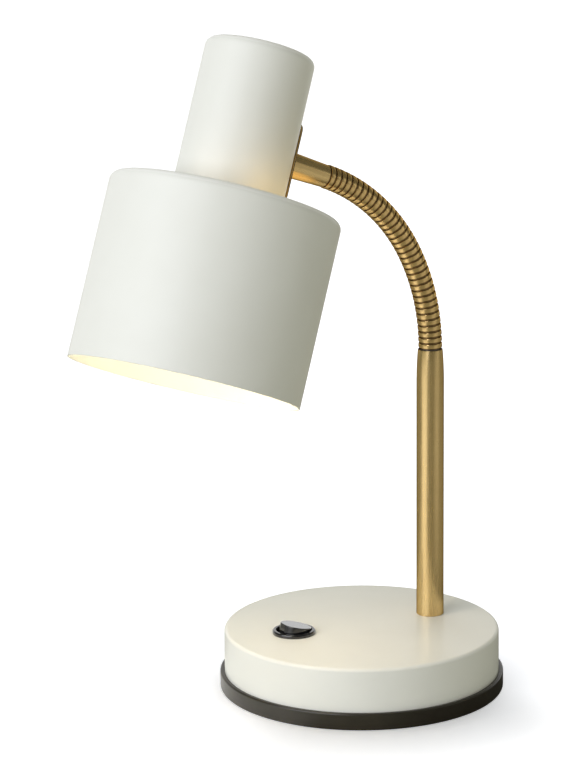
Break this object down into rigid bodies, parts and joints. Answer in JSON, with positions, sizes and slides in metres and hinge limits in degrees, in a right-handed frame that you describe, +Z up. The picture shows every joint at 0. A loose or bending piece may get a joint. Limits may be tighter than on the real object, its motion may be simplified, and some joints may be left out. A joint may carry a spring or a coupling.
{
  "type": "table lamp",
  "caption": "Table lamp: painted drum shade with a narrow closed neck, held by a brass gooseneck on an upright tube over a weighted round base with a rocker switch.",
  "frame": {"origin": "centre of the base's flat underside, on the table", "axes": "+Z up; +X from the base's centre to the post, so the arm bends towards -X in the XZ plane"},
  "size_m": [0.2492, 0.1568, 0.3601],
  "materials": {
    "cream_paint": "satin powder coat",
    "brass": "brushed, slightly antiqued",
    "dark_rubber": "matt",
    "black_plastic": "gloss",
    "white_plastic": "matt",
    "cast_iron": "as cast",
    "steel": "zinc plated",
    "aluminium": "pressed sheet",
    "opal_glass": "opal"
  },
  "bodies": {
    "base": {"base_tray": "dark_rubber", "base_shell": "cream_paint", "base_weight": "cast_iron", "tie_stud": "steel", "tie_spacer": "steel", "tie_washer": "steel", "tie_nut": "steel", "tray_screws": "steel", "post": "brass", "post_plug": "brass", "post_nipple": "steel", "post_washer": "steel", "post_nut": "steel", "switch_body": "black_plastic", "switch_terminals": "brass", "terminal_block": "white_plastic", "terminal_screws": "steel", "inlet_grommet": "dark_rubber", "gooseneck_link_01": "brass"},
    "link_02": {"gooseneck_link_02": "brass"},
    "link_03": {"gooseneck_link_03": "brass"},
    "link_04": {"gooseneck_link_04": "brass"},
    "link_05": {"gooseneck_link_05": "brass"},
    "link_06": {"gooseneck_link_06": "brass"},
    "link_07": {"gooseneck_link_07": "brass"},
    "link_08": {"gooseneck_link_08": "brass"},
    "link_09": {"gooseneck_link_09": "brass"},
    "link_10": {"gooseneck_link_10": "brass"},
    "link_11": {"gooseneck_link_11": "brass"},
    "head": {"gooseneck_link_12": "brass", "arm_ferrule": "brass", "neck_plate": "brass", "shade_drum": "cream_paint", "neck_cup": "cream_paint", "joining_ring": "steel", "arm_saddle": "steel", "holder_bracket": "steel", "arm_nut": "steel", "arm_nipple": "steel", "lampholder_body": "white_plastic", "holder_nut": "steel", "holder_nipple": "steel", "holder_insert": "white_plastic", "screw_shell": "brass", "centre_contact": "brass", "bulb_cap": "aluminium", "bulb_glass": "opal_glass"},
    "rocker": {"switch_rocker": "black_plastic"}
  },
  "joints": [
    {"name": "bend_1", "type": "hinge", "parent": "base", "child": "link_02", "pos_m": [0.04327, 0, 0.19339], "axis": [0, -1, 0], "range_deg": [-9.5, 5]},
    {"name": "sway_1", "type": "hinge", "parent": "link_02", "child": "link_03", "pos_m": [0.04189, 0, 0.20389], "axis": [-0.9845, 0, -0.1754], "range_deg": [-7.5, 7.5]},
    {"name": "bend_2", "type": "hinge", "parent": "link_03", "child": "link_04", "pos_m": [0.03956, 0, 0.21423], "axis": [0, -1, 0], "range_deg": [-9.5, 5]},
    {"name": "sway_2", "type": "hinge", "parent": "link_04", "child": "link_05", "pos_m": [0.0363, 0, 0.22431], "axis": [-0.9367, 0, -0.3503], "range_deg": [-7.5, 7.5]},
    {"name": "bend_3", "type": "hinge", "parent": "link_05", "child": "link_06", "pos_m": [0.03214, 0, 0.23406], "axis": [0, -1, 0], "range_deg": [-9.5, 5]},
    {"name": "sway_3", "type": "hinge", "parent": "link_06", "child": "link_07", "pos_m": [0.02706, 0, 0.24335], "axis": [-0.8497, 0, -0.5273], "range_deg": [-7.5, 7.5]},
    {"name": "bend_4", "type": "hinge", "parent": "link_07", "child": "link_08", "pos_m": [0.02098, 0, 0.25203], "axis": [0, -1, 0], "range_deg": [-9.5, 5]},
    {"name": "sway_4", "type": "hinge", "parent": "link_08", "child": "link_09", "pos_m": [0.01399, 0, 0.25999], "axis": [-0.7132, 0, -0.7009], "range_deg": [-7.5, 7.5]},
    {"name": "bend_5", "type": "hinge", "parent": "link_09", "child": "link_10", "pos_m": [0.00616, 0, 0.26712], "axis": [0, -1, 0], "range_deg": [-9.5, 5]},
    {"name": "sway_5", "type": "hinge", "parent": "link_10", "child": "link_11", "pos_m": [-0.00242, 0, 0.27334], "axis": [-0.542, 0, -0.8404], "range_deg": [-7.5, 7.5]},
    {"name": "bend_6", "type": "hinge", "parent": "link_11", "child": "head", "pos_m": [-0.01162, 0, 0.27859], "axis": [0, -1, 0], "range_deg": [-9.5, 5]},
    {"name": "rocker_tilt", "type": "hinge", "parent": "base", "child": "rocker", "pos_m": [-0.0383, 0.0065, 0.03155], "axis": [0, -1, 0], "range_deg": [0, 24]}
  ],
  "couplings": [
    {"joint": "bend_2", "follows": "bend_1", "ratio": 1},
    {"joint": "sway_2", "follows": "sway_1", "ratio": 1},
    {"joint": "bend_3", "follows": "bend_1", "ratio": 1},
    {"joint": "sway_3", "follows": "sway_1", "ratio": 1},
    {"joint": "bend_4", "follows": "bend_1", "ratio": 1},
    {"joint": "sway_4", "follows": "sway_1", "ratio": 1},
    {"joint": "bend_5", "follows": "bend_1", "ratio": 1},
    {"joint": "sway_5", "follows": "sway_1", "ratio": 1},
    {"joint": "bend_6", "follows": "bend_1", "ratio": 1}
  ]
}
